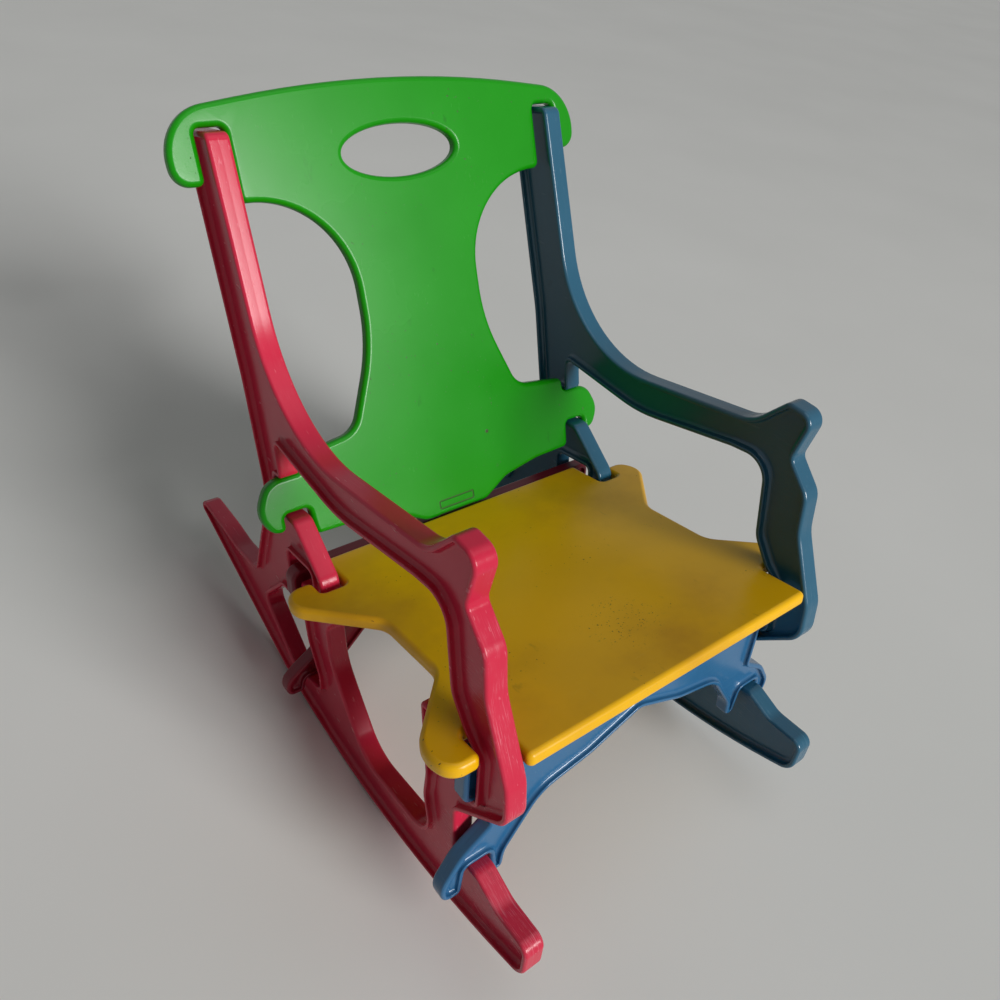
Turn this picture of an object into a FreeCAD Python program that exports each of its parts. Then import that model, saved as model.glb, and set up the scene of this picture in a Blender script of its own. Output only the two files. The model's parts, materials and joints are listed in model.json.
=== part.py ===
# A small rocking chair that comes apart into six interlocking plastic mouldings.
# Two side frames carry a seat, a backrest and two cross rails. Nothing is screwed or glued: every piece
# has notches that straddle its neighbour, and the wide ends beyond the notches keep the frames together.
# The chair's own directions: X across, Y from the front edge of the seat to the rear, Z up from the seat top.
# At the end the whole chair is tipped back to where it balances and set down on the floor.
import FreeCAD, Part

import math
import os

from FreeCAD import Placement, Rotation, Vector

doc = FreeCAD.newDocument("rocking_chair")

# Driving dimensions, in millimetres and degrees
DIMENSIONS = [
    ("frame_spacing", 314.0),     # middle of one side frame to the middle of the other
    ("frame_width", 18.0),        # width of the rim of a side frame
    ("web_thickness", 5.0),       # thin wall in the middle of a side frame or a rail
    ("rim_height", 4.2),          # how far the rim stands in from the outline
    ("edge_radius", 2.6),         # rounding of the rims
    ("seat_depth", 286.0),
    ("seat_thickness", 12.5),
    ("seat_edge_radius", 4.5),
    ("seat_lobe_reach", 42.0),    # how far the seat's lobes reach out past the inside of a frame
    ("seat_height", 209.0),       # seat top above the lowest line of the rockers
    ("arm_height", 120.0),        # arm top above the seat top
    ("post_height", 338.0),       # top of the rear posts above the seat top
    ("post_width", 50.0),         # from the front to the rear edge of a rear post
    ("back_lean", 12.0),          # backrest away from square to the seat
    ("back_thickness", 12.5),
    ("back_edge_radius", 4.5),
    ("back_height", 377.0),       # crown of the backrest, measured up its face from the seat
    ("back_lobe_reach", 28.0),    # how far the backrest's upper lobes reach past the outside of a frame
    ("waist_half_width", 61.0),
    ("panel_mark_length", 40.0),  # small moulded frame low on the backrest
    ("panel_mark_height", 9.0),
    ("panel_mark_depth", 0.8),
    ("ear_seat_height", 43.6),    # where the backrest's lower ears sit on the frames
    ("hand_hole_length", 109.0),
    ("hand_hole_height", 41.0),
    ("hand_hole_drop", 56.0),     # crown down to the middle of the hand hole
    ("rocker_radius", 680.0),
    ("rocker_advance", 15.0),     # centre of the rocker arc, ahead of the middle of the seat
    ("rocker_depth", 48.0),       # height of the rocker below the arch
    ("nose_angle", 11.2),         # arc of the rocker ahead of its middle
    ("tail_angle", 19.7),         # arc of the rocker behind its middle
    ("tail_length", 226.0),       # straight tail of the rocker
    ("tail_rise", 29.7),          # slope of the tail
    ("rail_depth", 14.0),         # front to rear of a cross rail
    ("slot_room", 6.0),           # how much deeper the frames' slots are than the rails
    ("rail_foot_height", 136.5),  # rocker top where the rails stand, below the seat top
    ("rail_lean", 5.7),           # both rails lean back from square to the seat
    ("rail_ear_reach", 25.0),     # upper ears of a rail past the inside of a frame
    ("rail_foot_reach", 43.0),    # lower ears of a rail past the inside of a frame
    ("rail_peak", 57.0),          # rail height at the middle, under the peak of its lower edge
    ("apron_face", 30.0),         # front face of the front apron at seat level
    ("apron_ear_height", 47.5),
    ("apron_foot_depth", 27.5),   # forked feet below the rocker top they stand on
    ("stretcher_setback", 5.0),   # front face of the rear stretcher at seat level, behind the seat
    ("stretcher_top", 6.0),       # top edge below the seat top
    ("stretcher_ear_height", 34.0),
    ("stretcher_foot_depth", 14.0),
    ("bar_height", 8.2),          # bar of the frame under the stretcher's ear
    ("fit_gap", 0.3),
    ("notch_play", 2.5),          # sideways room in every notch
]

sheet = doc.addObject("Spreadsheet::Sheet", "Dimensions")
for row, (alias, value) in enumerate(DIMENSIONS, start=1):
    sheet.set(f"A{row}", alias)
    sheet.set(f"B{row}", str(value))
    sheet.setAlias(f"B{row}", alias)
doc.recompute()


def size(alias):
    """Value of one driving dimension."""
    return float(sheet.get(alias))


spacing = size("frame_spacing")
width = size("frame_width")
depth = size("seat_depth")
gap = size("fit_gap")
slot_room = size("slot_room")
arm = size("arm_height")
post_top = size("post_height")
lean = math.radians(size("back_lean"))
ear_seat = size("ear_seat_height")
rocker_top = -size("rail_foot_height")
rocker_radius = size("rocker_radius")
rocker_low = -size("seat_height")
rocker_middle = depth / 2 - size("rocker_advance")

# Inside and outside faces of a frame, and the walls of every notch that straddles it
inner_face = (spacing - width) / 2
outer_face = (spacing + width) / 2
inner_wall = inner_face - size("notch_play")
outer_wall = outer_face + size("notch_play")

# The seat's underside, and the ledges that carry it
seat_under = -size("seat_thickness")
seat_ledge = seat_under - gap

# Rails: upper ears hang on bars of the frames, feet stand on the rockers
apron_bar_top = seat_ledge - size("apron_ear_height") - gap
stretcher_top = -size("stretcher_top")
stretcher_bar_top = stretcher_top - size("stretcher_ear_height") - gap
rail_lean = math.radians(size("rail_lean"))
apron_face = size("apron_face")
stretcher_face = depth + size("stretcher_setback")

# The backrest's front face at seat level stands just clear of the rounded rear edge of the seat
back_foot = depth + 2.0


def back_line(height, offset=0.0):
    """Y of the backrest's front face at a height, moved back by an offset."""
    return back_foot + height * math.tan(lean) + offset


def rail_front(face, height, offset=0.0):
    """Y of a rail's front face at a height, from where that face is at seat level, moved back by an offset."""
    return face - height * math.tan(rail_lean) + offset


def rail_rear(face, height, offset=0.0):
    """Y of a rail's rear face at a height, moved back by an offset."""
    return rail_front(face, height, size("rail_depth") / math.cos(rail_lean) + offset)


def rounded(corners):
    """Closed outline of straight runs and tangent arcs through corners given as (across, up, radius)."""
    points = [Vector(across, up, 0) for across, up, _ in corners]
    count = len(points)
    backs, aheads, halves, reaches = [], [], [], []
    for index, (_, _, radius) in enumerate(corners):
        back = (points[index - 1] - points[index]).normalize()
        ahead = (points[(index + 1) % count] - points[index]).normalize()
        half = back.getAngle(ahead) / 2
        backs.append(back)
        aheads.append(ahead)
        halves.append(half)
        reaches.append(radius / math.tan(half))
    for index in range(count):
        following = (index + 1) % count
        room = (points[following] - points[index]).Length
        wanted = reaches[index] + reaches[following]
        if wanted > room:
            reaches[index] *= 0.999 * room / wanted
            reaches[following] *= 0.999 * room / wanted
    geometry = []
    last = points[-1] + aheads[-1] * reaches[-1]
    for point, back, ahead, half, reach in zip(points, backs, aheads, halves, reaches):
        start = point + back * reach
        finish = point + ahead * reach
        if (start - last).Length > 0.001:
            geometry.append(Part.LineSegment(last, start))
        if reach > 0.001:
            radius = reach * math.tan(half)
            inward = (back + ahead).normalize()
            middle = point + inward * (radius / math.sin(half) - radius)
            geometry.append(Part.Arc(start, middle, finish))
        last = finish
    return geometry


def both_halves(corners):
    """Adds the mirror image of a right half, given from the top round to the bottom."""
    left = [(-across, up, radius) for across, up, radius in reversed(corners) if across > 0]
    return corners + left


def add_sketch(body, name, outlines):
    """Sketch on the body's own flat plane from lists of lines and arcs."""
    sketch = body.newObject("Sketcher::SketchObject", name)
    plane = next(p for p in body.Origin.OriginFeatures if p.Role == "XY_Plane")
    sketch.AttachmentSupport = [(plane, "")]
    sketch.MapMode = "FlatFace"
    for geometry in outlines:
        sketch.addGeometry(geometry, False)
    return sketch


def plate(node, outlines, thickness_alias, radius_alias):
    """Flat plate with rounded edges, middle plane on the body's XY plane."""
    body = doc.addObject("PartDesign::Body", node)
    body.Label = node
    sketch = add_sketch(body, node + "_outline", outlines)
    pad = body.newObject("PartDesign::Pad", node + "_pad")
    pad.Profile = sketch
    pad.Midplane = True
    pad.setExpression("Length", f"Dimensions.{thickness_alias}")
    doc.recompute()
    names = []
    for number, line in enumerate(pad.Shape.Edges, start=1):
        heights = [vertex.Point.z for vertex in line.Vertexes]
        if max(heights) - min(heights) < 0.001:
            names.append(f"Edge{number}")
    fillet = body.newObject("PartDesign::Fillet", node + "_rounding")
    fillet.Base = (pad, names)
    fillet.setExpression("Radius", f"Dimensions.{radius_alias}")
    body.Tip = fillet
    doc.recompute()
    return body


def shelled(node, outlines, thickness_alias):
    """Rimmed moulding: a rounded plate whose two faces are sunk inside a rim, down to a thin web."""
    body = plate(node, outlines, thickness_alias, "edge_radius")
    wires = [Part.Wire(Part.__sortEdges__([g.toShape() for g in o])) for o in outlines]
    face = Part.Face(wires, "Part::FaceMakerBullseye")
    floor = face.makeOffset2D(-size("rim_height"), 0, False, False, True)
    sunk = []
    for wire in [wire for part in floor.Faces for wire in part.Wires]:
        sunk.append([curve_of(line) for line in wire.Edges])
    sketch = add_sketch(body, node + "_recess_outline", sunk)
    sketch.setExpression("AttachmentOffset.Base.z", f"Dimensions.{thickness_alias} / 2")
    pocket = body.newObject("PartDesign::Pocket", node + "_recess")
    pocket.Profile = sketch
    pocket.setExpression("Length", f"(Dimensions.{thickness_alias} - Dimensions.web_thickness) / 2")
    mirrored = body.newObject("PartDesign::Mirrored", node + "_recesses")
    plane = next(p for p in body.Origin.OriginFeatures if p.Role == "XY_Plane")
    mirrored.Originals = [pocket]
    mirrored.MirrorPlane = (plane, [""])
    body.Tip = mirrored
    doc.recompute()
    return body


def curve_of(line):
    """Sketch geometry for one straight or round edge."""
    first, last = line.ParameterRange
    if line.Curve.TypeId == "Part::GeomLine":
        return Part.LineSegment(line.valueAt(first), line.valueAt(last))
    return Part.Arc(line.valueAt(first), line.valueAt((first + last) / 2), line.valueAt(last))


# Side frame, drawn as (y, z, corner radius)


def rocker_corner():
    """Where the tangents at the two ends of the rocker arc meet."""
    nose = math.radians(size("nose_angle"))
    tail = math.radians(size("tail_angle"))
    middle = (tail - nose) / 2
    far = rocker_radius / math.cos((tail + nose) / 2)
    across = rocker_middle + far * math.sin(middle)
    return across, rocker_low + rocker_radius - far * math.cos(middle)


def rocker_end(angle_alias, sign, beyond):
    """Point past one end of the rocker arc, along its tangent."""
    angle = math.radians(size(angle_alias))
    across = sign * (rocker_radius * math.sin(angle) + beyond * math.cos(angle))
    up = rocker_radius * (1 - math.cos(angle)) + beyond * math.sin(angle)
    return rocker_middle + across, rocker_low + up


def frame_outline():
    """Outside of a side frame: post, arm, front scroll, leg, nose of the rocker, rocker and tail."""
    nose_y, nose_z = rocker_end("nose_angle", -1, 16)
    bend_y, bend_z = rocker_end("tail_angle", 1, 6)
    rise = math.radians(size("tail_rise"))
    tip_y = bend_y + size("tail_length") * math.cos(rise)
    tip_z = bend_z + size("tail_length") * math.sin(rise)
    corner_y, corner_z = rocker_corner()
    post_front = -13.0
    post_rear = post_front + size("post_width")
    return [
        (back_line(post_top, post_front), post_top, 7),
        (back_line(arm, -20), arm, 120),
        (80, arm + 4, 34),
        (49, arm + 30, 9),
        (23, arm + 24, 12),
        (37, arm - 15, 8),
        (18, arm - 41, 20),
        (18, 44, 44),
        (-2, -17, 32),
        (-2, -51, 23),
        (rail_rear(apron_face, -91, slot_room), -91, 9),
        (rail_rear(apron_face, rocker_top, slot_room), rocker_top, 5),
        (36, rocker_top, 14),
        (12, -151, 22),
        (-25, -156, 10),
        (nose_y, nose_z, 17),
        (corner_y, corner_z, rocker_radius),
        (bend_y, bend_z, 160),
        (tip_y, tip_z, 7),
        (tip_y - 22, tip_z + 6, 14),
        (tip_y - 72, tip_z - 1, 120),
        (tip_y - 105, tip_z - 9, 60),
        (tip_y - 153, tip_z - 9, 16),
        (back_line(45, post_rear + 10), 45, 60),
        (back_line(150, post_rear), 150, 160),
        (back_line(post_top, post_rear), post_top, 7),
    ]


def frame_opening():
    """Space under the arm and the arch under the seat, with the slots for the apron and the backrest."""
    arch_top = rocker_low + size("rocker_depth")
    rear_wall = size("back_thickness") / math.cos(lean) + gap
    finger = ear_seat + 33.4
    rear_ledge = depth - 56
    return [
        (back_line(arm - 11, -6), arm - 10, 4),
        (depth - 81, arm - 33, 150),
        (96, arm - 26, 60),
        (62, arm - 27, 20),
        (59, 24, 26),
        (45, 0, 12),
        (rail_front(apron_face, seat_ledge, -1), seat_ledge - 2, 6),
        (rail_front(apron_face, apron_bar_top, -1), apron_bar_top, 4),
        (rail_rear(apron_face, apron_bar_top, slot_room), apron_bar_top, 4),
        (rail_rear(apron_face, apron_bar_top, slot_room + 1), seat_ledge, 4),
        (99, seat_ledge, 5),
        (99, -85, 40),
        (105, -112, 30),
        (99, arch_top, 24),
        (depth - 83, arch_top, 40),
        (depth - 53, -112, 60),
        (depth - 37, -84, 60),
        (depth - 37, -44, 10),
        (rear_ledge, -27, 7),
        (rear_ledge, seat_ledge, 4),
        (depth - 38, seat_ledge, 3),
        (depth - 38, 3, 16),
        (depth + 3, ear_seat, 12),
        (back_line(ear_seat, rear_wall), ear_seat, 3),
        (back_line(finger, rear_wall), finger, 3),
        (back_line(finger, -2), finger, 5),
    ]


def frame_window():
    """Space behind the rear leg, above the rocker, where the rear stretcher's foot stands."""
    bar_under = stretcher_bar_top - size("bar_height")
    return [
        (depth + 12, bar_under, 5),
        (depth + 52, bar_under, 20),
        (depth + 106, -91, 11),
        (depth + 52, -148, 9),
        (rail_rear(stretcher_face, rocker_top, slot_room), rocker_top, 8),
        (depth - 2, rocker_top, 8),
        (depth - 3, -118, 14),
        (depth + 10, -85, 30),
    ]


def ear_slot():
    """Stepped hole that the rear stretcher's upper ear is dropped into."""
    slot_top = 4
    step = -17
    slot_front = rail_front(stretcher_face, stretcher_bar_top, -1)
    slot_rear = rail_rear(stretcher_face, stretcher_bar_top, slot_room - 2)
    return [
        (depth - 19, slot_top, 5),
        (slot_rear, slot_top, 5),
        (slot_rear, stretcher_bar_top, 4),
        (slot_front, stretcher_bar_top, 4),
        (slot_front - 1.5, step, 5),
        (depth - 19, step, 5),
    ]


def side_frame(node, side):
    outlines = [rounded(line) for line in (frame_outline(), frame_opening(), frame_window(), ear_slot())]
    body = shelled(node, outlines, "frame_width")
    turn = Rotation(Vector(0, 1, 0), Vector(0, 0, 1), Vector(1, 0, 0), "ZXY")
    return body, Placement(Vector(side * spacing / 2, 0, 0), turn)


# Seat, drawn as (x, y, corner radius) over its right half


def seat_panel():
    """Flat seat with a notch and a hooked lobe at each corner."""
    reach = inner_face + size("seat_lobe_reach")
    rear_notch = depth - 44
    corners = [
        (inner_wall, depth, 5),
        (inner_wall, rear_notch, 5),
        (outer_wall, rear_notch, 5),
        (outer_wall, depth - 24, 5),
        (reach - 1, depth - 24, 14),
        (reach + 10, depth - 46, 22),
        (inner_face - 1, depth - 108, 22),
        (inner_face - 1, 106, 22),
        (reach + 10, 50, 30),
        (reach + 2, 20, 16),
        (outer_wall, 20, 5),
        (outer_wall, 45 + gap, 5),
        (inner_wall, 45 + gap, 5),
        (inner_wall, 0, 5),
    ]
    body = plate("seat_panel", [rounded(both_halves(corners))], "seat_thickness", "seat_edge_radius")
    return body, Placement(Vector(0, 0, seat_under / 2), Rotation())


# Backrest, drawn as (x, distance up its face, corner radius) over its right half


def up_face(height):
    """Distance up the backrest's face where an underside stays above a height through the whole thickness."""
    return (height + size("back_thickness") * math.sin(lean)) / math.cos(lean)


def backrest_panel():
    """Backrest with a waist, a crown with a hand hole, saddles for the posts and ears for the frames."""
    crown = size("back_height")
    half = outer_face + size("back_lobe_reach")
    waist = size("waist_half_width")
    saddle = up_face(post_top + gap)
    ledge = up_face(ear_seat + gap)
    lobe_foot = crown - 68
    corners = [
        (0, crown + 8, 1040),
        (half, crown - 17, 38),
        (half - 3, lobe_foot, 14),
        (outer_wall, lobe_foot, 5),
        (outer_wall, saddle, 5),
        (inner_wall, saddle, 5),
        (inner_wall, crown - 83, 6),
        (waist, crown - 83, 78),
        (waist, 170, 150),
        (90, 100, 22),
        (inner_wall, 93, 6),
        (inner_wall, ledge + 32, 5),
        (outer_wall + 9, ledge + 32, 20),
        (outer_wall + 22, ledge + 5, 22),
        (outer_wall + 12, ledge - 14.5, 13),
        (outer_wall, ledge - 14.5, 5),
        (outer_wall, ledge, 5),
        (inner_wall, ledge, 5),
        (inner_wall - 2, 21.5, 6),
        (102, 20, 60),
        (62, 13, 24),
        (36, -2, 8),
        (31, up_face(stretcher_top + gap), 3),
    ]
    middle = Vector(0, crown - size("hand_hole_drop"), 0)
    length = size("hand_hole_length") / 2
    height = size("hand_hole_height") / 2
    hand_hole = [Part.Ellipse(middle, length, height)]
    outlines = [rounded(both_halves(corners)), hand_hole]
    body = plate("backrest_panel", outlines, "back_thickness", "back_edge_radius")
    add_mark(body)
    turn = Rotation(Vector(1, 0, 0), 90 - size("back_lean"))
    foot = Vector(0, back_foot, 0)
    into = Vector(0, math.cos(lean), -math.sin(lean))
    return body, Placement(foot + into * (size("back_thickness") / 2), turn)


def add_mark(body):
    """Shallow rectangular groove in the middle of the backrest's front face, just above the seat."""
    length = size("panel_mark_length") / 2
    height = size("panel_mark_height") / 2
    groove = 1.6
    middle = 8.0
    loops = []
    for inset in (0, groove):
        wide = length - inset
        high = height - inset
        radius = 2 - inset
        corners = [
            (wide, middle + high, radius),
            (wide, middle - high, radius),
            (-wide, middle - high, radius),
            (-wide, middle + high, radius),
        ]
        loops.append(rounded(corners))
    sketch = add_sketch(body, "mark_outline", loops)
    sketch.setExpression("AttachmentOffset.Base.z", "Dimensions.back_thickness / 2")
    pocket = body.newObject("PartDesign::Pocket", "mark_groove")
    pocket.Profile = sketch
    pocket.setExpression("Length", "Dimensions.panel_mark_depth")
    body.Tip = pocket
    doc.recompute()


# Cross rails, drawn as (x, distance up the face, corner radius) over the right half


def rail(node, name, face, top, bar_top):
    """Cross rail: hooked upper ears, a side notch round the frame's bar and forked feet on the rocker."""

    def up(height):
        return height / math.cos(rail_lean)

    ear_top = up(top - size("rail_depth") * math.sin(rail_lean))
    ear = inner_face + size("rail_ear_reach")
    foot = inner_face + size("rail_foot_reach")
    side = inner_face - gap
    foot_top = rocker_top + gap
    sole = rocker_top - size(name + "_foot_depth")
    corners = [
        (ear, ear_top, 10),
        (ear, up(bar_top + gap), 8),
        (side, up(bar_top + gap), 4),
        (side, up(-104), 5),
        (foot - 17, up(-122), 36),
        (foot, up(sole + 16), 20),
        (foot - 4, up(sole), 9),
        (outer_wall + 3, up(sole), 5),
        (outer_wall, up(foot_top), 5),
        (inner_wall, up(foot_top), 5),
        (inner_wall - 3, up(sole), 5),
        (inner_wall - 13, up(sole), 5),
        (inner_wall - 15, up(sole + 18), 24),
        (99, up(-101), 34),
        (50, up(-91), 50),
        (0, ear_top - size("rail_peak"), 10),
    ]
    body = shelled(node, [rounded(both_halves(corners))], "rail_depth")
    turn = Rotation(Vector(1, 0, 0), 90 + size("rail_lean"))
    into = Vector(0, math.cos(rail_lean), math.sin(rail_lean))
    return body, Placement(Vector(0, face, 0) + into * (size("rail_depth") / 2), turn)


pieces = [
    side_frame("red_side_frame", -1),
    side_frame("blue_side_frame", 1),
    seat_panel(),
    backrest_panel(),
    rail("front_apron", "apron", apron_face, seat_ledge, apron_bar_top),
    rail("rear_stretcher", "stretcher", stretcher_face, stretcher_top, stretcher_bar_top),
]

# The chair rests where its weight hangs straight below the centre of the rocker arc


def weight_centre(bodies):
    total = sum(body.Shape.Volume for body in bodies)
    moment = Vector()
    for body in bodies:
        moment += body.Shape.CenterOfGravity * body.Shape.Volume
    return moment / total


for body, place in pieces:
    body.Placement = place
doc.recompute()

arc_centre = Vector(0, rocker_middle, rocker_low + rocker_radius)
weight = weight_centre([body for body, _ in pieces])
hang = weight - arc_centre
tip_back = math.degrees(math.atan2(hang.y, -hang.z))
print(f"weight centre in the chair's own directions {weight.y:.1f} {weight.z:.1f}, tipped back {tip_back:.4f}")

level = Placement(Vector(), Rotation(Vector(1, 0, 0), -tip_back))
for body, place in pieces:
    body.Placement = level.multiply(place)
doc.recompute()

# The origin is on the floor, in the middle of the chair's length and width
outline = Part.Wire([curve.toShape() for curve in rounded(frame_outline())])
outline.Placement = pieces[0][0].Placement
reach = outline.optimalBoundingBox(False)
set_down = Placement(Vector(0, -reach.Center.y, -reach.ZMin), Rotation()).multiply(level)
for body, place in pieces:
    body.Placement = set_down.multiply(place)
doc.recompute()
seat_centre = set_down.multVec(Vector(0, depth / 2, 0))
print(f"middle of the seat's top at y {seat_centre.y:.3f}, z {seat_centre.z:.3f}")

# Every object has to be sound before anything is written
for item in doc.Objects:
    if "Invalid" in item.State or "Error" in item.State:
        raise RuntimeError(f"{item.Name} failed: {item.State}")

os.makedirs("parts", exist_ok=True)
for body, _ in pieces:
    shape = body.Shape
    if shape.isNull() or not shape.isValid() or len(shape.Solids) != 1:
        raise RuntimeError(f"{body.Label} is not one sound solid")
    shape.exportStep(f"parts/{body.Label}.step")
    box = shape.BoundBox
    print(f"{body.Label}: volume {shape.Volume / 1000:.1f} cm3, "
          f"x {box.XMin:.1f} to {box.XMax:.1f}, y {box.YMin:.1f} to {box.YMax:.1f}, "
          f"z {box.ZMin:.1f} to {box.ZMax:.1f}")
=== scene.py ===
# %% [markdown]
# A small rocking chair of interlocking plastic panels: two side frames, a seat, a backrest and two cross
# rails. The imported model gives the true size and place of every panel. This lesson draws the soft details
# of the mouldings on top of it, and gives each one its finish: glossy plastic with the scuffs, scratches
# and ground-in dirt of a chair that has been in use for years, and some shade and sheen painted into its
# colours. Then it sets up a pale floor, soft studio light and the camera.

import json
import math

import bmesh
import bpy
import numpy as np
from mathutils import Matrix, Vector
from mathutils.geometry import delaunay_2d_cdt


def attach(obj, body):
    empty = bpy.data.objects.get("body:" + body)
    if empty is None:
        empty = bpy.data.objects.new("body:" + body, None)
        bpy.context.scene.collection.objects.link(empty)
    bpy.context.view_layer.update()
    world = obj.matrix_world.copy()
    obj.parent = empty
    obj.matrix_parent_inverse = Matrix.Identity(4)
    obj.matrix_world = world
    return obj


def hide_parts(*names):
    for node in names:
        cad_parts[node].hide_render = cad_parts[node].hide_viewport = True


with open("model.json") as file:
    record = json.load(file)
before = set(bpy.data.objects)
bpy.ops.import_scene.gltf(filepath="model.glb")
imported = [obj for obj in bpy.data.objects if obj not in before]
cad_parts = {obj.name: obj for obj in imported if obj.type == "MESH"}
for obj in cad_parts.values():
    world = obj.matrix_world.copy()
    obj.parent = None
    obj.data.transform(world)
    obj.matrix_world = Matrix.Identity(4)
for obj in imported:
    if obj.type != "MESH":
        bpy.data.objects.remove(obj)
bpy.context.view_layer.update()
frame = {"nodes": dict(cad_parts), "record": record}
panels = frame["nodes"]
seat_top = frame["record"]["mounts"][0]
print("panels:", ", ".join(sorted(panels)))

# %% [markdown]
# The real panels are mouldings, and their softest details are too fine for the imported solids: the lip of
# every rim is rounded on the inside too, the floor of a recess runs into its rim in a hollow curve, and a
# fine line goes round each edge where the two halves of the mould met. So each panel is drawn again as
# profiles carried along its own edges. The edges aren't typed in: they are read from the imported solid, so
# size and place stay exact.
#
# A closed edge comes as loose segments, each point knowing only the point after it. Walking along it one
# point at a time would be slow, so the order is found by doubling: first every point knows the one after
# it, then the second, the fourth, the eighth, until each knows how far it is from the end.

# %% Read the flat plane and the closed edges of a panel
# Points closer than MERGE are one point, and heights within LEVEL are the same height, both in metres. The
# others compare directions: of a flat with its panel's, of a wall with the panel's, and of a panel with X.
MERGE = 2e-6
LEVEL = 2e-5
FLAT = 0.9995
UPRIGHT = 0.02
SIDEWAYS = 0.9


def merged_solid(name):
    """Points and triangles of a packed panel with equal points joined."""
    shape = bmesh.new()
    shape.from_mesh(panels[name].data)
    bmesh.ops.remove_doubles(shape, verts=shape.verts, dist=MERGE)
    mesh = bpy.data.meshes.new(name)
    shape.to_mesh(mesh)
    shape.free()
    points = np.empty(len(mesh.vertices) * 3)
    mesh.vertices.foreach_get("co", points)
    triangles = np.empty(len(mesh.loops), int)
    mesh.loops.foreach_get("vertex_index", triangles)
    bpy.data.meshes.remove(mesh)
    return points.reshape(-1, 3), triangles.reshape(-1, 3)


def in_order(start, follower):
    """Closed loops as arrays of point numbers, from edges that each lead from one point to its follower.

    Each loop is cut before its lowest number, first, and left counts a point's steps to that cut.
    """
    numbers, where = np.unique(np.concatenate([start, follower]), return_inverse=True)
    start, follower = where.reshape(2, -1)
    following = np.empty(len(numbers), int)
    following[start] = follower
    own = np.arange(len(numbers))
    doublings = range(int(np.ceil(np.log2(len(numbers)))) + 1)
    first, jump = own.copy(), following.copy()
    for _ in doublings:
        first = np.minimum(first, first[jump])
        jump = jump[jump]
    jump = np.where(following == first, own, following)
    left = (jump != own).astype(int)
    for _ in doublings:
        left = left + left[jump]
        jump = jump[jump]
    order = np.lexsort((-left, first))
    cuts = np.flatnonzero(np.diff(first[order])) + 1
    return [numbers[loop] for loop in np.split(order, cuts)]


def free_edges(triangles):
    """Directed edges that only one of the triangles has."""
    edges = np.concatenate([triangles[:, [0, 1]], triangles[:, [1, 2]], triangles[:, [2, 0]]])
    span = edges.max() + 1
    forwards, backwards = edges[:, 0] * span + edges[:, 1], edges[:, 1] * span + edges[:, 0]
    return edges[~np.isin(forwards, backwards)]


class Plan:
    """A panel's own flat directions, its half thickness, its outlines and the edges of its recesses."""

    def __init__(self, name):
        points, triangles = merged_solid(name)
        a, b, c = points[triangles].transpose(1, 0, 2)
        facing = np.cross(b - a, c - a)
        area = np.linalg.norm(facing, axis=1)
        facing /= area[:, None] + 1e-30
        kinds, kind = np.unique(facing.round(2), axis=0, return_inverse=True)
        widest = np.bincount(kind.ravel(), area).argmax()
        normal = (facing * area[:, None])[kind.ravel() == widest].sum(0)
        normal /= np.linalg.norm(normal)
        across = np.array([0.0, 1.0, 0.0]) if abs(normal[0]) > SIDEWAYS else np.array([1.0, 0.0, 0.0])
        self.turn = np.array([across, np.cross(normal, across), normal])
        local = points @ self.turn.T
        self.middle = (local[:, 2].min() + local[:, 2].max()) / 2
        local[:, 2] -= self.middle
        self.half = local[:, 2].max()
        level = local[triangles][:, :, 2]
        upright = facing @ normal
        wall = (np.abs(upright) < UPRIGHT) & (level.min(1) < 0) & (level.max(1) > 0)
        brink = level[wall].max()
        wall = (np.abs(upright) < UPRIGHT) & (np.abs(level).max(1) < brink + LEVEL)
        edges = free_edges(triangles[wall])
        edges = edges[(local[edges][:, :, 2] > brink - LEVEL).all(1)]
        self.rounding = self.half - brink
        self.outlines = [local[loop, :2] for loop in in_order(edges[:, 1], edges[:, 0])]
        self.recesses = {}
        for side in (1, -1):
            below_rim = (np.abs(level) < self.half - LEVEL).all(1)
            sunk = (upright * side > FLAT) & below_rim & (level * side > LEVEL).all(1)
            if sunk.any():
                edges = free_edges(triangles[sunk])[:, ::side]
                loops = [local[loop, :2] for loop in in_order(edges[:, 0], edges[:, 1])]
                self.recesses[side] = (float(np.abs(level[sunk]).mean()), loops)


plans = {name: Plan(name) for name in sorted(panels)}
for name, plan in plans.items():
    print(f"{name}: {2000 * plan.half:.1f} mm thick, rounded {1000 * plan.rounding:.1f} mm,",
          len(plan.outlines), "outlines,", {side: len(loops) for side, (_, loops) in plan.recesses.items()})

# %% [markdown]
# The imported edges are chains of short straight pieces. Between two points the true edge is smooth, so
# each piece becomes a cubic curve that leaves and arrives in the directions of the edge there. A long
# piece is nearly always a straight run, so at the joint between a long and a short piece the long one's
# direction counts for more. Only real bends get more points.

# %% Draw the edges finer and find their outward side
# A bend turns by at most FINEST_TURN from point to point, and a corner sharper than SHARP stays a corner.
# Points closer than CLOSEST count once. An edge moved in by less than SHALLOW is taken as it comes. Further
# in, a point has crossed over where it is nearer to an edge than CLEAR_SHARE of the way that it moved.
# LEAST_MITRE keeps very sharp corners from shooting out.
FINEST_TURN = math.radians(8)
SHARP = math.radians(48)
CLOSEST = 3e-5
SHALLOW = 2e-4
LEAST_MITRE = 0.35
CLEAR_SHARE = 0.97


def unit(vectors):
    """Vectors scaled to a length of 1."""
    return vectors / np.maximum(np.linalg.norm(vectors, axis=1, keepdims=True), 1e-12)


def angle(first, second):
    """Angles between pairs of unit vectors."""
    return np.arccos(np.clip((first * second).sum(1), -1, 1))


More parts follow.
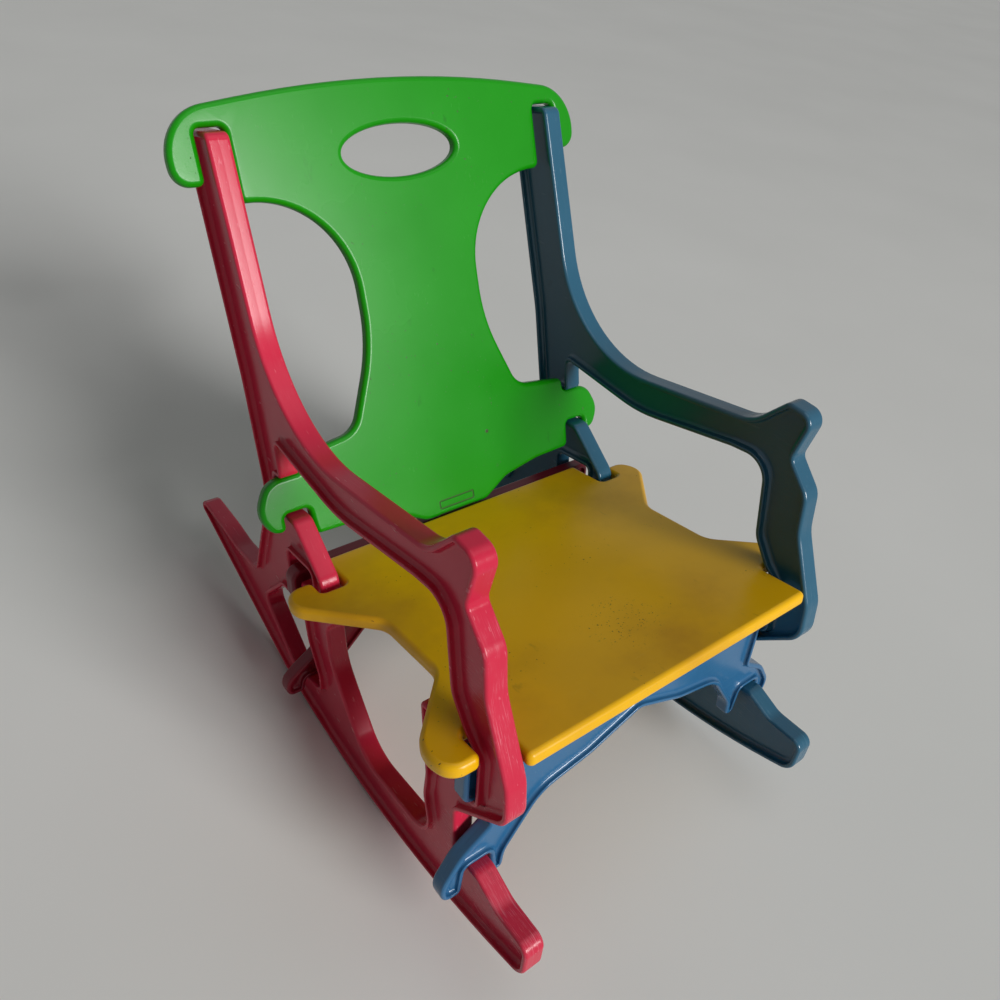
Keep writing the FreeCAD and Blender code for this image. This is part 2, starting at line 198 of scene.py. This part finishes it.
def finer(loop):
    """The same closed edge with more points in its bends, each piece a cubic curve from point to point."""
    loop = loop[np.linalg.norm(np.roll(loop, -1, 0) - loop, axis=1) > CLOSEST]
    ahead = np.roll(loop, -1, 0) - loop
    length = np.linalg.norm(ahead, axis=1, keepdims=True)
    along = unit(ahead)
    weighted = along * length ** 2
    joint = unit(weighted + np.roll(weighted, 1, 0))
    kink = (angle(np.roll(along, 1, 0), along) > SHARP)[:, None]
    leaving = np.where(kink, along, joint)
    arriving = np.where(np.roll(kink, -1, 0), along, np.roll(joint, -1, 0))
    bend = angle(leaving, along) + angle(along, arriving)
    steps = np.maximum(1, np.ceil(bend / FINEST_TURN)).astype(int)
    piece = np.repeat(np.arange(len(loop)), steps)
    t = (np.arange(len(piece)) - (np.cumsum(steps) - steps)[piece]) / steps[piece]
    t = t[:, None]
    start, finish = loop[piece], np.roll(loop, -1, 0)[piece]
    pull = length[piece]
    return ((2 * t ** 3 - 3 * t ** 2 + 1) * start + (t ** 3 - 2 * t ** 2 + t) * pull * leaving[piece]
            + (3 * t ** 2 - 2 * t ** 3) * finish + (t ** 3 - t ** 2) * pull * arriving[piece])


def outward(loop):
    """How far each point moves when the edge moves out by 1: along the bisector, and further at corners."""
    along = unit(np.roll(loop, -1, 0) - loop)
    right = np.column_stack([along[:, 1], -along[:, 0]])
    before = np.roll(right, 1, 0)
    return (right + before) / np.maximum(1 + (right * before).sum(1, keepdims=True), LEAST_MITRE)


def distance_to(points, loops):
    """Shortest distance from each point to any of the closed edges."""
    start = np.concatenate(loops)
    along = np.concatenate([np.roll(loop, -1, 0) - loop for loop in loops])
    offset = points[:, None] - start
    share = np.clip((offset * along).sum(2) / np.maximum((along ** 2).sum(1), 1e-18), 0, 1)
    return np.linalg.norm(offset - share[..., None] * along, axis=2).min(1)


def moved(loop, out, loops):
    """A closed edge moved out, or in where out is negative. Points that cross over are drawn together."""
    points = loop + outward(loop) * out
    if np.max(out) > -SHALLOW:
        return points
    clear = distance_to(points, loops) > -out * CLEAR_SHARE
    if clear.all() or not clear.any():
        return points
    own = np.arange(len(loop))
    kept = own[clear]
    return np.column_stack([np.interp(own, kept, points[kept, i], period=len(loop)) for i in (0, 1)])


print("longest edge:", max(len(loop) for plan in plans.values() for loop in plan.outlines), "points")

# %% [markdown]
# One panel is a few strips and flats. A strip is a profile carried round an edge: a grid with one row per
# point of the edge and one column per point of the profile. The flats between the strips are filled with
# triangles. Each strip also gets a map of its surface, with the distance along the edge in one direction
# and the distance over the profile in the other, so that scratches can run along the rims later.

# %% Build a panel from strips and flats
# In metres: the radius of a rim's inner lip and of the hollow curve at a recess's floor, both at most a share
# of the recess's depth, the narrowest flat left on a rim, and the mould line's depth and half width. A lip
# keeps at least LEAST_SQUEEZE of its width where the rim is thin.
LIP = 0.0009
HOLLOW = 0.0038
LIP_SHARE, HOLLOW_SHARE = 0.3, 0.6
NARROWEST = 0.0003
LEAST_SQUEEZE = 0.02
SEAM_DEPTH = 0.00012
SEAM_HALF = 0.00035
MILLIMETRES = 1000
SAME_POINT = 1e-5


def arc(out, height, radius, first, last, count=6):
    """Points of a round stretch of profile between two angles in degrees, from 0, outward, up to 90."""
    turn = np.radians(np.linspace(first, last, count))
    return np.column_stack([out + radius * np.cos(turn), height + radius * np.sin(turn)])


def edge_profile(half, rounding):
    """From the top flat over the rounding and down the wall, round the mould line, to the bottom flat."""
    upper = arc(-rounding, half - rounding, rounding, 90, 0, 8)
    upper = np.concatenate([upper, [[0.0, SEAM_HALF]]])
    return np.concatenate([upper, [[-SEAM_DEPTH, 0.0]], upper[::-1] * [1, -1]])


def recess_profile(half, floor, lip, hollow):
    """From the rim's flat over its lip, down the wall and through a hollow curve to the floor."""
    rounded_lip = arc(lip, half - lip, lip, 90, 180, 4)
    hollow_corner = arc(-hollow, floor + hollow, hollow, 0, -90, 6)
    return np.concatenate([rounded_lip, hollow_corner])


# How much more a large face counts than a small one where they share a point's direction.
FLATS_COUNT = 80


class Skin:
    """Points, faces and surface map of one panel while it grows."""

    def __init__(self, plan):
        self.plan = plan
        self.points, self.faces, self.maps = [], [], []
        self.count = 0

    def add_points(self, flat, height):
        """Adds points of the plan at one height and returns their numbers."""
        self.points.append(np.column_stack([flat, np.full(len(flat), height)]))
        self.count += len(flat)
        return np.arange(self.count - len(flat), self.count)

    def strip(self, loop, profile, loops, flip, squeeze=1.0):
        """Carries a profile round an edge and returns its first and last column.

        Squeeze is a share for each point of the edge. It narrows what the profile has outside the edge.
        """
        columns = []
        for out, height in profile:
            reach = out * squeeze if out > 0 else out
            columns.append(self.add_points(moved(loop, reach, loops), height))
        length = np.linalg.norm(np.roll(loop, -1, 0) - loop, axis=1)
        after = np.cumsum(length)
        before = after - length
        over = np.concatenate([[0], np.cumsum(np.linalg.norm(np.diff(profile, axis=0), axis=1))])
        for step in range(len(profile) - 1):
            here, there = columns[step], columns[step + 1]
            face = np.column_stack([here, there, np.roll(there, -1), np.roll(here, -1)])
            top, low = np.full(len(loop), over[step]), np.full(len(loop), over[step + 1])
            corners = ((before, top), (before, low), (after, low), (after, top))
            place = np.stack([np.column_stack(corner) for corner in corners], 1)
            self.add_faces(face, place, flip)
        return columns[0], columns[-1]

    def add_faces(self, faces, places, flip):
        """Adds faces with a place on the surface map for each corner, turned over where asked."""
        self.faces.extend((faces[:, ::-1] if flip else faces).tolist())
        self.maps.append((places[:, ::-1] if flip else places).reshape(-1, 2))

    def flat(self, edges, flip):
        """Fills the area between closed edges of point numbers: a triangle stays if its middle is inside."""
        numbers = np.concatenate(edges)
        points = np.concatenate(self.points)
        height = points[numbers[0], 2]
        places = points[numbers, :2]
        ends = np.cumsum([len(edge) for edge in edges])
        after = np.arange(len(numbers)) + 1
        after[ends - 1] = ends - [len(edge) for edge in edges]
        lines = np.column_stack([np.arange(len(numbers)), after]).tolist()
        corners = [Vector(place) for place in places * MILLIMETRES]
        made, _, triangles, origin, _, _ = delaunay_2d_cdt(corners, lines, [], 0, SAME_POINT)
        made = np.array([tuple(place) for place in made]) / MILLIMETRES
        new = np.array([len(known) == 0 for known in origin])
        number = np.array([numbers[known[0]] if known else 0 for known in origin])
        if new.any():
            number[new] = self.add_points(made[new], height)
        triangles = np.array(triangles)
        inside = within(made[triangles].mean(1), places, places[after])
        triangles = triangles[inside]
        a, b, c = made[triangles].transpose(1, 0, 2)
        clockwise = (b[:, 0] - a[:, 0]) * (c[:, 1] - a[:, 1]) < (b[:, 1] - a[:, 1]) * (c[:, 0] - a[:, 0])
        triangles[clockwise] = triangles[clockwise, ::-1]
        self.add_faces(number[triangles], made[triangles], flip)

    def finished(self, name):
        """The panel as an object in its real place, smooth, with its flats kept flat.

        Where two edges come very close, a flat has a corner in the middle of a strip's side. The gap there
        has no area, and is filled so that the panel is closed.
        """
        points = np.concatenate(self.points) + [0, 0, self.plan.middle]
        mesh = bpy.data.meshes.new(name)
        mesh.from_pydata((points @ self.plan.turn).tolist(), [], self.faces)
        mesh.uv_layers.new(name="surface").data.foreach_set("uv", np.concatenate(self.maps).ravel())
        shape = bmesh.new()
        shape.from_mesh(mesh)
        bmesh.ops.dissolve_degenerate(shape, dist=MERGE, edges=shape.edges)
        bmesh.ops.holes_fill(shape, edges=[edge for edge in shape.edges if edge.is_boundary], sides=0)
        shape.to_mesh(mesh)
        shape.free()
        mesh.polygons.foreach_set("use_smooth", np.ones(len(mesh.polygons), bool))
        mesh.update()
        made = bpy.data.objects.new(name, mesh)
        bpy.context.scene.collection.objects.link(made)
        weighted = made.modifiers.new("flats stay flat", "WEIGHTED_NORMAL")
        weighted.weight = FLATS_COUNT
        return made


def within(points, start, finish):
    """Whether points are inside closed edges: a ray to the right crosses them an odd number of times."""
    rise = finish[:, 1] - start[:, 1]
    rise = np.where(np.abs(rise) < 1e-15, 1e-15, rise)
    up = points[:, None, 1]
    crosses = (start[:, 1] > up) != (finish[:, 1] > up)
    meets = start[:, 0] + (up - start[:, 1]) / rise * (finish[:, 0] - start[:, 0])
    return (crosses & (meets > points[:, None, 0])).sum(1) % 2 == 1


def moulded(name, piece_name):
    """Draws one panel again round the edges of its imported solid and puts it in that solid's place."""
    plan = plans[name]
    skin = Skin(plan)
    outlines = [finer(loop) for loop in plan.outlines]
    rims = {1: [], -1: []}
    for loop in outlines:
        top, bottom = skin.strip(loop, edge_profile(plan.half, plan.rounding), outlines, False)
        rims[1].append(top)
        rims[-1].append(bottom)
    for side in (1, -1):
        if side in plan.recesses:
            floor, loops = plan.recesses[side]
            loops = [finer(loop) for loop in loops]
            depth = plan.half - floor
            lip, hollow = min(LIP, depth * LIP_SHARE), min(HOLLOW, depth * HOLLOW_SHARE)
            profile = recess_profile(plan.half, floor, lip, hollow)
            floors = []
            for loop in loops:
                room = distance_to(loop, outlines) - plan.rounding - NARROWEST
                squeeze = np.clip(room / lip, LEAST_SQUEEZE, 1.0)[:, None]
                top, bottom = skin.strip(loop, profile * [1, side], loops, side > 0, squeeze)
                rims[side].append(top)
                floors.append(bottom)
            skin.flat(floors, side < 0)
        skin.flat(rims[side], side < 0)
    piece = skin.finished(piece_name)
    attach(piece, "root")
    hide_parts(name)
    return piece


# %% [markdown]
# A material is a small graph of nodes, and most of it is arithmetic: masks are multiplied, clamped and
# added. Written node by node that takes hundreds of lines. So one class wraps a socket and gives it the
# usual operators, and an expression such as 1 - mask * 0.5 adds its own Math nodes.

# %% A socket that can be calculated with


class Field:
    """A value that varies over the surface: the output socket of one node of a material."""

    def __init__(self, graph, socket):
        self.graph = graph
        self.socket = socket

    def math(self, operation, *others):
        """This value and the others through one Math node of the named operation."""
        return self.graph.node("ShaderNodeMath", {"operation": operation}, self, *others)

    def __add__(self, other):
        return self.math("ADD", other)

    __radd__ = __add__

    def __mul__(self, other):
        return self.math("MULTIPLY", other)

    __rmul__ = __mul__

    def __sub__(self, other):
        return self.math("SUBTRACT", other)

    def __rsub__(self, other):
        return (self * -1.0) + other

    def above(self, low, high):
        """0 below low, 1 above high, and a smooth step in between."""
        settings = {"interpolation_type": "SMOOTHSTEP"}
        return self.graph.node("ShaderNodeMapRange", settings, self, low, high)


class Graph:
    """The node graph of one new material or world."""

    def __init__(self, owner):
        self.owner = owner
        owner.use_nodes = True
        self.tree = owner.node_tree
        self.tree.nodes.clear()

    def node(self, kind, settings=None, *values, output=0, **named):
        """Adds a node: its settings first, then values or links for its sockets by place or by name."""
        made = self.tree.nodes.new(kind)
        for key, value in (settings or {}).items():
            setattr(made, key, value)
        places = {name.replace("_", " "): value for name, value in named.items()}
        for place, value in [*enumerate(values), *places.items()]:
            if isinstance(value, Field):
                self.tree.links.new(value.socket, made.inputs[place])
            else:
                made.inputs[place].default_value = value
        return Field(self, made.outputs[output] if made.outputs else None)

    def blend(self, share, first, second):
        """Colour mix: the first where share is 0, the second where it is 1."""
        made = self.tree.nodes.new("ShaderNodeMix")
        made.data_type = "RGBA"
        for place, value in ((0, share), (6, first), (7, second)):
            if isinstance(value, Field):
                self.tree.links.new(value.socket, made.inputs[place])
            else:
                made.inputs[place].default_value = value
        return Field(self, made.outputs[2])

    def even(self):
        """Object coordinates in metres as they are."""
        return self.node("ShaderNodeTexCoord", output=3)

    def stretched(self, scale):
        """Object coordinates times a number for each direction. Below 1, what reads them grows long there."""
        return self.node("ShaderNodeMapping", None, self.even(), Scale=scale)

    def along(self, direction):
        """The object coordinate along one direction, in metres."""
        return self.node("ShaderNodeSeparateXYZ", None, self.even(), output=direction)

    def surface_map(self):
        """Metres along the nearest edge and over its profile, and plan coordinates on the flats."""
        return self.node("ShaderNodeUVMap", {"uv_map": "surface"})

    def near(self, place, inner, outer):
        """1 within the inner distance of a place, and 0 beyond the outer one."""
        away = self.node("ShaderNodeVectorMath", {"operation": "DISTANCE"}, self.even(), place, output=1)
        return 1.0 - away.above(inner, outer)

    def noise(self, where, scale, detail=3.0, roughness=0.5):
        """Cloudy noise from 0 to 1 with the given number of waves per metre."""
        return self.node("ShaderNodeTexNoise", None, where, Scale=scale, Detail=detail, Roughness=roughness)


print("materials are written as sums and products of fields")

# %% [markdown]
# All four colours are the same glossy polypropylene. Up close it isn't even: the mould leaves a very fine
# orange peel, hands and floors leave soft dull patches, and sliding things leave thin scratches that
# catch the light. On this chair they run lengthwise along the rims, so the scratches read the panels'
# surface map: noise stretched about thirty times along the edge, of which only the highest peaks show.
# The front of the chair is the most worn. The dull patches also get a faint pale film, which is a painted
# sheen as well as a worn surface. The rear stretcher's darker red is painted shade, and the floor of the
# backrest's groove is darkened with dirt and painted shade.

# %% Worn glossy plastic, with some painted sheen and shade
LINE_STRETCH = 0.03
FRONT_START, FRONT_END = 0.12, 0.25
DIRT_AND_SHADE = (0.035, 0.022, 0.012, 1.0)
CRUMBS_DENSE, CRUMBS_END = 0.006, 0.045
CHIP_RADIUS, CHIP_END = 0.0015, 0.0021
GROOVE_REACH, GROOVE_END = 0.021, 0.0225


def scratches(graph, waves, low, high):
    """Lines along the rims: noise on the surface map, stretched along the edge and cut at a high level."""
    mapped = graph.node("ShaderNodeMapping", None, graph.surface_map(), Scale=(LINE_STRETCH, 1.0, 1.0))
    return graph.noise(mapped, waves, 2.0).above(low, high)


def crumb_bits(graph, place):
    """Small bits of dirt in loose groups, dense at a place and none a few centimetres away."""
    bits = graph.noise(graph.even(), 620.0, 2.0).above(0.62, 0.66)
    groups = graph.noise(graph.even(), 130.0, 2.0).above(0.44, 0.56)
    return bits * graph.near(place, CRUMBS_DENSE, CRUMBS_END) * groups


def groove_dirt_and_shade(graph, place, facing, bottom):
    """Dirt and painted shade on the floor of a groove: near the place, and about level with the floor."""
    settings = {"operation": "DOT_PRODUCT"}
    level = graph.node("ShaderNodeVectorMath", settings, graph.even(), facing, output=1)
    not_behind = level.above(bottom - 0.0006, bottom - 0.0002)
    sunk = not_behind * (1.0 - level.above(bottom + 0.0001, bottom + 0.0007))
    return sunk * graph.near(place, GROOVE_REACH, GROOVE_END)


def worn_plastic(
    name, colour, chalk, gloss=0.22, wear_and_sheen=0.5, grime=0.0, specks_and_shade=0.0, shine=0.5,
    crumbs=None, chip=None, groove=None
):
    """Glossy plastic with mould texture, dull patches with a faint painted sheen, chalky scratches, and dark
    dots of dirt where asked.

    Crumbs are dirt around one place, and a chip is one dark spot. A groove is a place, a direction and the
    level in that direction at which the floor is darkened with dirt and painted shade.
    """
    graph = Graph(bpy.data.materials.new(name))
    even = graph.even()
    clouds = graph.noise(even, 9.0, 4.0)
    peel = graph.noise(even, 900.0, 2.0)
    front = (graph.along(1) * -1.0).above(FRONT_START, FRONT_END)
    worn_patches_and_sheen = (graph.noise(even, 21.0, 3.0) + front * 0.1).above(0.5, 0.64) * (front * 0.75 + 0.25)
    lines = scratches(graph, 950.0, 0.6, 0.68) * worn_patches_and_sheen
    hair = scratches(graph, 2600.0, 0.57, 0.7) * worn_patches_and_sheen
    nicks = graph.noise(graph.stretched((1.0, 0.08, 0.25)), 620.0, 1.0).above(0.71, 0.75)
    # The faint pale film of the dull patches, their mask times 0.04, paints a sheen as well as a worn
    # surface.
    marks = (lines * 0.5 + hair * 0.6 + worn_patches_and_sheen * 0.04) * wear_and_sheen + nicks * (wear_and_sheen * 0.35)
    shade = graph.blend(clouds.above(0.3, 0.75), [c * 0.9 for c in colour] + [1.0], [*colour, 1.0])
    base = graph.blend(marks * 0.75, shade, [*chalk, 1.0])
    rough = clouds * 0.1 + marks * 0.3 + (gloss - 0.05)
    smears = graph.noise(graph.stretched((1.0, 0.5, 0.4)), 75.0, 5.0).above(0.68, 0.76)
    base = graph.blend(smears * 0.35, base, [c * 0.35 for c in colour] + [1.0])
    height = peel * 0.3 + clouds * 1.5 - lines * wear_and_sheen - nicks * wear_and_sheen
    if grime:
        stain = graph.noise(even, 6.0, 5.0, 0.6).above(0.42, 0.75) * grime
        base = graph.blend(stain, base, [colour[0] * 0.5, colour[1] * 0.4, colour[2] * 0.6 + 0.012, 1.0])
        rough = rough + stain * 0.25
    if specks_and_shade:
        dots = graph.noise(even, 430.0, 1.0).above(0.74, 0.765)
        dots = dots * graph.noise(even, 15.0, 2.0).above(0.5, 0.62)
        if crumbs:
            dots = dots + crumb_bits(graph, crumbs)
        if chip:
            dots = dots + graph.near(chip, CHIP_RADIUS, CHIP_END)
        if groove:
            # The groove's floor is darkened with the dirt colour: dirt, and painted shade.
            dots = dots + groove_dirt_and_shade(graph, *groove) * 0.8
        base = graph.blend(dots * specks_and_shade, base, DIRT_AND_SHADE)
        rough = rough + dots * 0.3
        height = height + dots * 0.8
    bump = graph.node("ShaderNodeBump", None, Height=height, Strength=0.16, Distance=0.0006)
    surface = {"Base_Color": base, "Roughness": rough, "Normal": bump, "Specular_IOR_Level": shine}
    shader = graph.node("ShaderNodeBsdfPrincipled", None, **surface)
    graph.node("ShaderNodeOutputMaterial", None, shader)
    return graph.owner


def groove_of(plan):
    """Place, outward direction and level of the floor of the one recess that a panel has."""
    side, (bottom, loops) = next(iter(plan.recesses.items()))
    middle = (loops[0].min(0) + loops[0].max(0)) / 2
    place = np.array([*middle, plan.middle + side * plan.half]) @ plan.turn
    return tuple(place), tuple(plan.turn[2] * side), side * plan.middle + bottom


pink_chalk = (0.88, 0.4, 0.46)
amber_chalk = (0.85, 0.6, 0.12)
green_chalk = (0.3, 0.6, 0.25)
blue_chalk = (0.2, 0.4, 0.5)
crumb_place = tuple(Vector(seat_top["pos_m"]) + Vector((0.0, -0.075, 0.017)))
chip_place = (0.0451, 0.0766, 0.2445)
red = worn_plastic("worn_red_plastic", (0.58, 0.02, 0.056), pink_chalk, wear_and_sheen=0.6, shine=0.26)
# The rear stretcher's red is a much darker copy of the frames' red. It is painted shade for the shade it sits
# in, with grime stains on top.
shaded_red = worn_plastic(
    "grimy_red_plastic_in_painted_shade", (0.2, 0.008, 0.02), pink_chalk, gloss=0.3, wear_and_sheen=0.12, grime=0.5, shine=0.26
)
blue = worn_plastic("worn_blue_plastic", (0.016, 0.1, 0.17), blue_chalk, wear_and_sheen=0.25)
rail_blue = worn_plastic("worn_rail_blue_plastic", (0.023, 0.125, 0.27), blue_chalk, wear_and_sheen=0.2)
yellow = worn_plastic(
    "worn_yellow_plastic", (0.88, 0.475, 0.001), amber_chalk, gloss=0.3, wear_and_sheen=0.3, grime=0.6, specks_and_shade=0.9,
    shine=0.3, crumbs=crumb_place
)
green = worn_plastic(
    "worn_green_plastic", (0.006, 0.26, 0.001), green_chalk, gloss=0.26, wear_and_sheen=0.06, specks_and_shade=0.85, shine=0.26,
    chip=chip_place, groove=groove_of(plans["backrest_panel"])
)
print("finishes:", ", ".join(m.name for m in (red, shaded_red, blue, rail_blue, yellow, green)))

# %% [markdown]
# Now every panel is drawn and dressed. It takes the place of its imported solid, which stays in the
# physical model.

# %% Draw and dress the six panels
FINISHES = {
    "red_side_frame": (red, "red_plastic"),
    "blue_side_frame": (blue, "blue_plastic"),
    "seat_panel": (yellow, "yellow_plastic"),
    "backrest_panel": (green, "green_plastic"),
    "front_apron": (rail_blue, "blue_plastic"),
    "rear_stretcher": (shaded_red, "red_plastic"),
}

for name, (finish, slot) in FINISHES.items():
    piece = moulded(name, name + "_moulding")
    piece.data.materials.append(finish)
    print(f"{piece.name}: {len(piece.data.polygons)} faces in {finish.name}")

# %% [markdown]
# The floor is one big pale sheet, large enough to fill the view. It stands in for a painted floor, so it
# has a faint unevenness and is nearly matt. It is staging, not a piece of the chair.

# %% Pale floor
FLOOR_HALF = 40.0


def painted_floor():
    """Off-white satin paint with a faint unevenness."""
    graph = Graph(bpy.data.materials.new("painted_floor"))
    clouds = graph.noise(graph.even(), 2.2, 4.0)
    base = graph.blend(clouds, (0.74, 0.74, 0.71, 1.0), (0.82, 0.82, 0.79, 1.0))
    surface = {"Base_Color": base, "Roughness": clouds * 0.1 + 0.75, "Specular_IOR_Level": 0.1}
    shader = graph.node("ShaderNodeBsdfPrincipled", None, **surface)
    graph.node("ShaderNodeOutputMaterial", None, shader)
    return graph.owner


sheet = bpy.data.meshes.new("floor")
corners = [(x * FLOOR_HALF, y * FLOOR_HALF, 0.0) for x, y in ((-1, -1), (1, -1), (1, 1), (-1, 1))]
sheet.from_pydata(corners, [], [(0, 1, 2, 3)])
sheet.materials.append(painted_floor())
floor = bpy.data.objects.new("floor", sheet)
bpy.context.scene.collection.objects.link(floor)
print("floor:", 2 * FLOOR_HALF, "metres wide")

# %% [markdown]
# The main light is wide, soft daylight from low in front of the chair, so upright faces are brighter than
# level ones. It is a sun with a wide disc, because that lights the floor evenly, near and far. A weak
# wide lamp overhead and a dim world keep the seat and the shadows readable. What the camera and
# reflections see of the world is paler than the light it gives, which keeps the background pale from
# every side.

# %% Soft studio light
WORLD_STRENGTH = 0.09
DAYLIGHT_STRENGTH = 3.1
DAYLIGHT_WIDTH = 24.0
DAYLIGHT_FROM = (0.95, -4.8, 1.9)
BACKDROP_STRENGTH = 0.5
PALE_BLUE = (0.94, 0.97, 1.0, 1.0)


def soft_lamp(name, place, aim, width, power):
    """Square area lamp that faces a point."""
    light = bpy.data.lights.new(name, "AREA")
    light.size = width
    light.energy = power
    lamp = bpy.data.objects.new(name, light)
    lamp.location = place
    lamp.rotation_euler = (Vector(aim) - Vector(place)).to_track_quat("-Z", "Y").to_euler()
    bpy.context.scene.collection.objects.link(lamp)


daylight = bpy.data.lights.new("window", "SUN")
daylight.energy = DAYLIGHT_STRENGTH
daylight.angle = math.radians(DAYLIGHT_WIDTH)
window = bpy.data.objects.new("window", daylight)
window.rotation_euler = Vector(DAYLIGHT_FROM).to_track_quat("Z", "Y").to_euler()
bpy.context.scene.collection.objects.link(window)
soft_lamp("ceiling", place=(0.3, -0.6, 2.9), aim=(0.0, 0.0, 0.2), width=2.0, power=11.0)
sky = Graph(bpy.data.worlds.new("studio"))
light_path = ("Is Camera Ray", "Is Glossy Ray", "Is Transmission Ray")
seen = sum(sky.node("ShaderNodeLightPath", output=kind) for kind in light_path)
lighting = sky.node("ShaderNodeBackground", None, PALE_BLUE, WORLD_STRENGTH)
backdrop = sky.node("ShaderNodeBackground", None, PALE_BLUE, BACKDROP_STRENGTH)
sky.node("ShaderNodeOutputWorld", None, sky.node("ShaderNodeMixShader", None, seen, lighting, backdrop))
bpy.context.scene.world = sky.owner
bpy.context.scene.view_settings.view_transform = "Standard"

# %% [markdown]
# The camera stands to the front and left of the chair, a little above the arms, and looks down at the
# seat with a wide lens. It is also rolled slightly. Its place and its directions were worked out from the
# edges of the panels in the photograph. They are given as seen from the seat: across to the right, back
# along the seat, and up from it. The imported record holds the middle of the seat's top and the direction
# square to it, so the camera stays with the seat however far the chair is tipped back.

# %% Camera at the photograph's viewing angle
CAMERA_PLACE = (-0.3905, -0.4360, 0.4044)
CAMERA_RIGHT = (0.7950, -0.6066, -0.0047)
CAMERA_DOWN = (-0.3028, -0.3901, -0.8696)
CAMERA_LENS = 30.19
CAMERA_SENSOR = 36.0

seat_up = Vector(seat_top["axis"]).normalized()
seat_right = Vector((1.0, 0.0, 0.0))
seat_axes = Matrix((seat_right, seat_up.cross(seat_right), seat_up)).transposed()
right = (seat_axes @ Vector(CAMERA_RIGHT)).normalized()
forward = right.cross(seat_axes @ Vector(CAMERA_DOWN)).normalized()
camera_up = right.cross(forward)
camera_place = Vector(seat_top["pos_m"]) + seat_axes @ Vector(CAMERA_PLACE)
camera_data = bpy.data.cameras.new("camera")
camera_data.lens = CAMERA_LENS
camera_data.sensor_width = CAMERA_SENSOR
camera_data.clip_start = 0.01
camera = bpy.data.objects.new("camera", camera_data)
turn = Matrix((right, camera_up, -forward)).transposed().to_4x4()
camera.matrix_world = Matrix.Translation(camera_place) @ turn
bpy.context.scene.collection.objects.link(camera)
bpy.context.scene.camera = camera
print("camera looks along", [round(c, 3) for c in forward])
